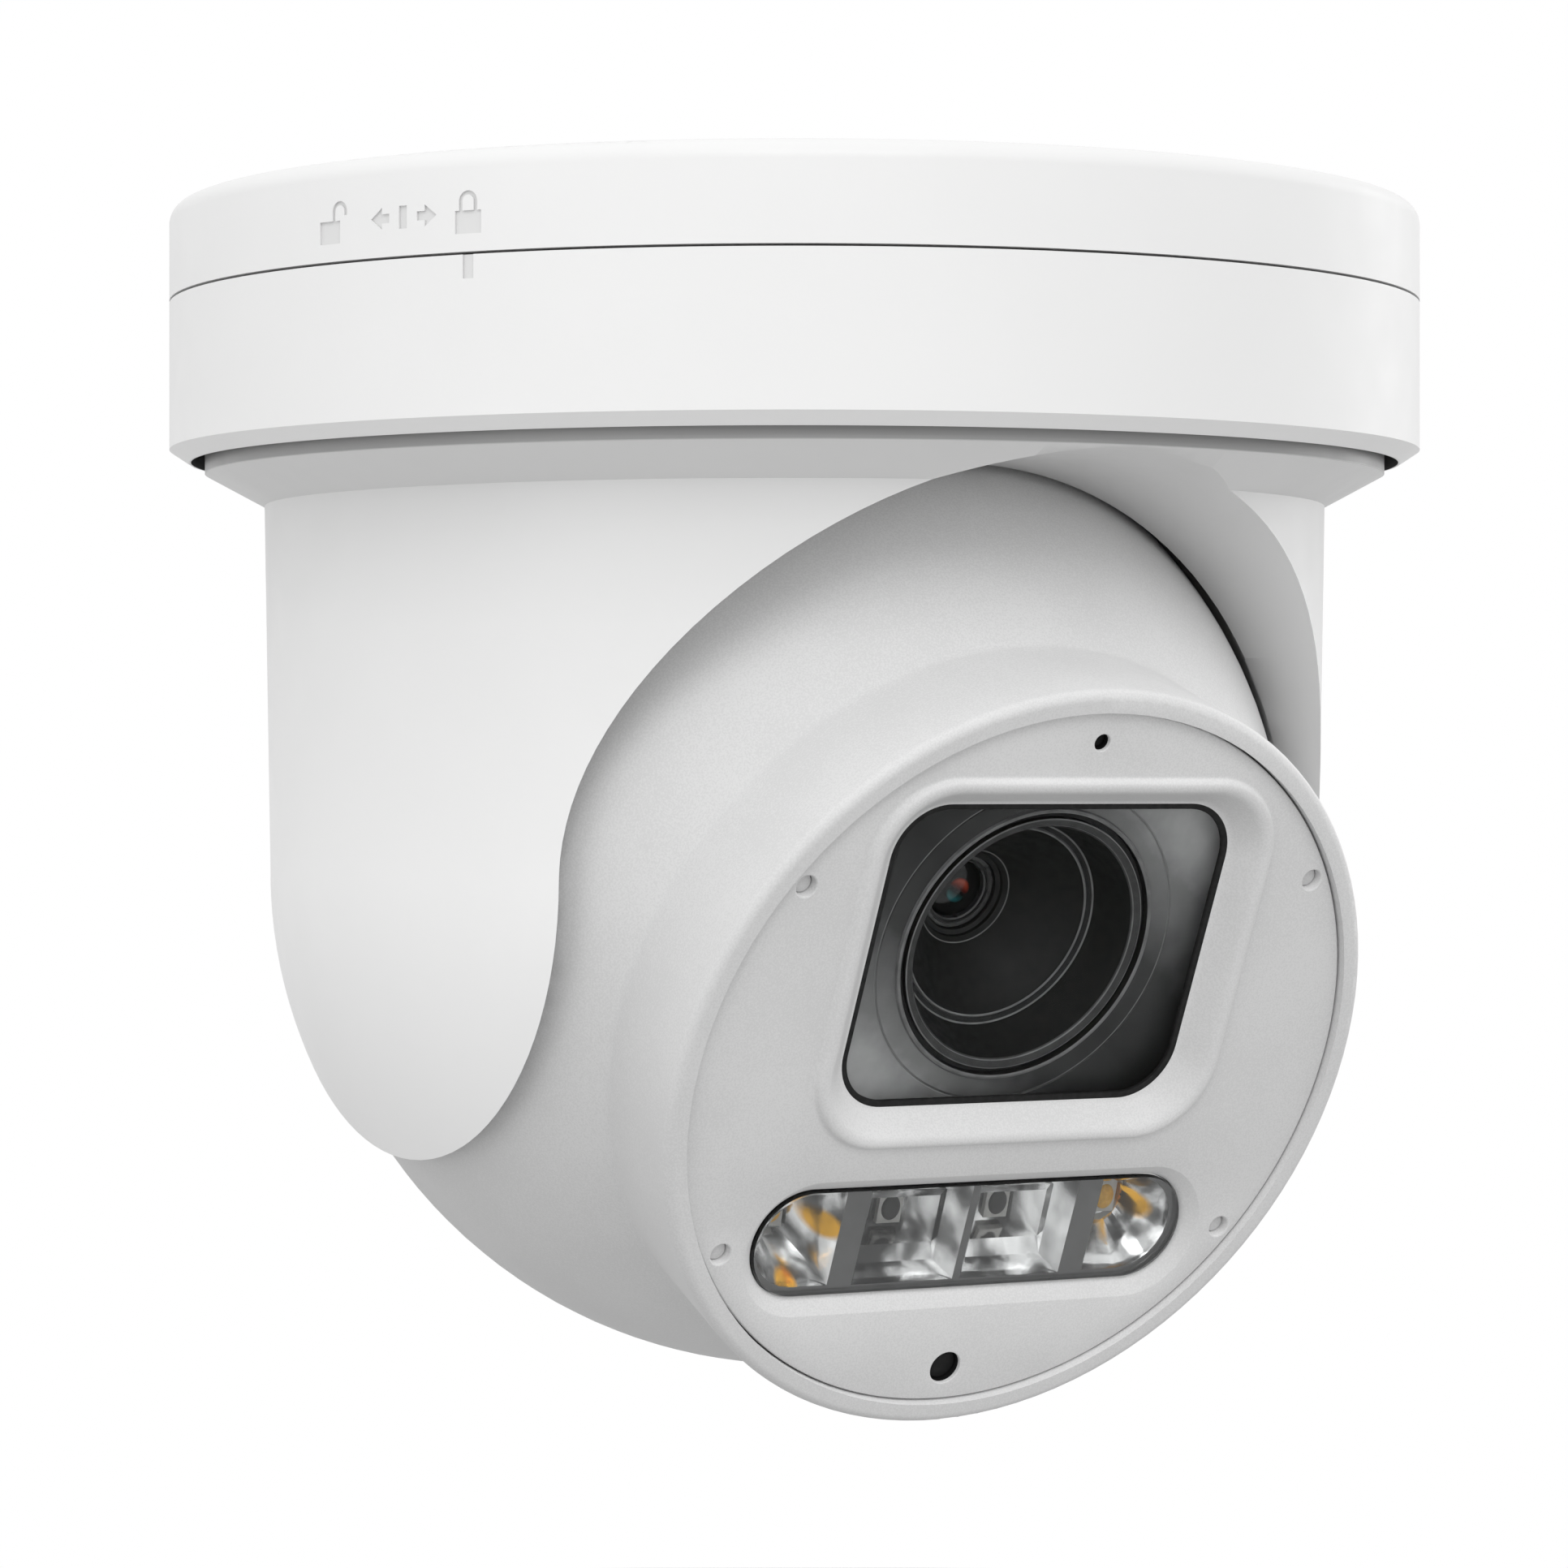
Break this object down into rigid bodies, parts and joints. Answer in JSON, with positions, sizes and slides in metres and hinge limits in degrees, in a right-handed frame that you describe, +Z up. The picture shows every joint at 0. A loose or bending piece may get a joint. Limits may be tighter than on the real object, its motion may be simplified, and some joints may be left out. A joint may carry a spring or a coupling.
{
  "type": "dome cctv camera",
  "caption": "Ceiling camera with a twist-lock drum base, a panning two-arm yoke and a tilting ball head with a window and a lamp strip.",
  "frame": {"origin": "centre of the ceiling face, on the pan axis", "axes": "+Z up into the ceiling, along the pan axis; the head looks towards -Y at rest; the tilt axis runs along X"},
  "size_m": [0.15, 0.15, 0.1425],
  "materials": {
    "white_housing": "satin with a very fine grain",
    "grey_shell": "fine-textured matt paint",
    "grey_face": "fine-textured matt paint",
    "black_plastic": "satin black",
    "steel": "machined",
    "motor_can": "drawn steel",
    "brass": "machined",
    "gear_plastic": "natural acetal",
    "aluminium": "die-cast",
    "circuit_board": "solder-resist green",
    "rubber": "matt",
    "clear_glass": "clear, slightly dark",
    "chrome": "vacuum-plated mirror",
    "phosphor": "yellow phosphor"
  },
  "bodies": {
    "bracket": {"ceiling_bracket": "white_housing"},
    "base": {"base_housing": "white_housing", "base_cover": "black_plastic", "base_cover_screws": "steel", "cable_gland": "brass", "power_board": "circuit_board", "pan_outer_race": "steel", "bearing_snap_ring": "steel", "pan_ring_gear": "gear_plastic", "ring_gear_screws": "steel"},
    "yoke": {"yoke_housing": "white_housing", "yoke_top_plate": "aluminium", "yoke_screws": "steel", "pan_inner_race": "steel", "pan_bearing_balls": "steel", "pan_retainer": "aluminium", "pan_motor": "motor_can", "pan_stop_pin": "steel", "tilt_axles": "aluminium", "tilt_inner_races": "steel", "tilt_ring_gear": "gear_plastic"},
    "pan_pinion": {"pan_pinion": "brass"},
    "head": {"front_shell": "grey_shell", "rear_shell": "grey_shell", "shell_seal": "rubber", "shell_screws": "steel", "service_cover": "grey_shell", "service_board": "circuit_board", "head_screws": "steel", "face_plate": "grey_face", "face_plate_screws": "steel", "window_gasket": "rubber", "window_glass": "clear_glass", "lens_hood": "black_plastic", "front_lens": "clear_glass", "lens_barrel": "black_plastic", "guide_rods": "steel", "lens_motors": "motor_can", "sensor_board": "circuit_board", "image_sensor": "black_plastic", "main_board": "circuit_board", "heat_sink": "aluminium", "led_cover": "clear_glass", "led_reflector": "chrome", "led_board": "circuit_board", "white_leds": "phosphor", "infrared_leds": "black_plastic", "microphone": "steel", "light_sensor": "black_plastic", "tilt_motor": "motor_can", "tilt_outer_races": "steel", "tilt_bearing_balls": "steel"},
    "tilt_pinion": {"tilt_pinion": "brass"},
    "zoom_group": {"zoom_cell": "black_plastic", "zoom_lens": "clear_glass"},
    "focus_group": {"focus_cell": "black_plastic", "focus_lens": "clear_glass"},
    "ir_cut": {"ir_cut_filter": "black_plastic"},
    "reset_button": {"reset_button": "gear_plastic"}
  },
  "joints": [
    {"name": "twist_lock", "type": "hinge", "parent": "bracket", "child": "base", "pos_m": [0, 0, 0], "axis": [0, 0, -1], "range_deg": [0, 15]},
    {"name": "pan", "type": "hinge", "parent": "base", "child": "yoke", "pos_m": [0, 0, 0], "axis": [0, 0, 1], "range_deg": [-175, 175]},
    {"name": "pan_pinion_spin", "type": "hinge", "parent": "yoke", "child": "pan_pinion", "pos_m": [-0.04587, 0.03212, -0.018], "axis": [0, 0, 1], "range_deg": [-1815, 1815]},
    {"name": "tilt", "type": "hinge", "parent": "yoke", "child": "head", "pos_m": [0, 0, -0.0795], "axis": [1, 0, 0], "range_deg": [-23.5, 66.5]},
    {"name": "tilt_pinion_spin", "type": "hinge", "parent": "head", "child": "tilt_pinion", "pos_m": [0.0525, -0.00333, -0.09841], "axis": [1, 0, 0], "range_deg": [-335, 120]},
    {"name": "zoom_slide", "type": "slide", "parent": "head", "child": "zoom_group", "axis": [0, -0.9171, -0.3987], "range_m": [-0.004, 0.0065]},
    {"name": "focus_slide", "type": "slide", "parent": "head", "child": "focus_group", "axis": [0, -0.9171, -0.3987], "range_m": [-0.0025, 0.001]},
    {"name": "ir_cut_slide", "type": "slide", "parent": "head", "child": "ir_cut", "axis": [-1, 0, 0], "range_m": [0, 0.0092]},
    {"name": "reset_press", "type": "slide", "parent": "head", "child": "reset_button", "axis": [0, -0.9171, -0.3987], "range_m": [0, 0.0004], "stiffness_N_per_m": 1500, "springref_m": -0.0008}
  ],
  "couplings": [
    {"joint": "pan_pinion_spin", "follows": "pan", "ratio": -10.333},
    {"joint": "tilt_pinion_spin", "follows": "tilt", "ratio": -5}
  ]
}
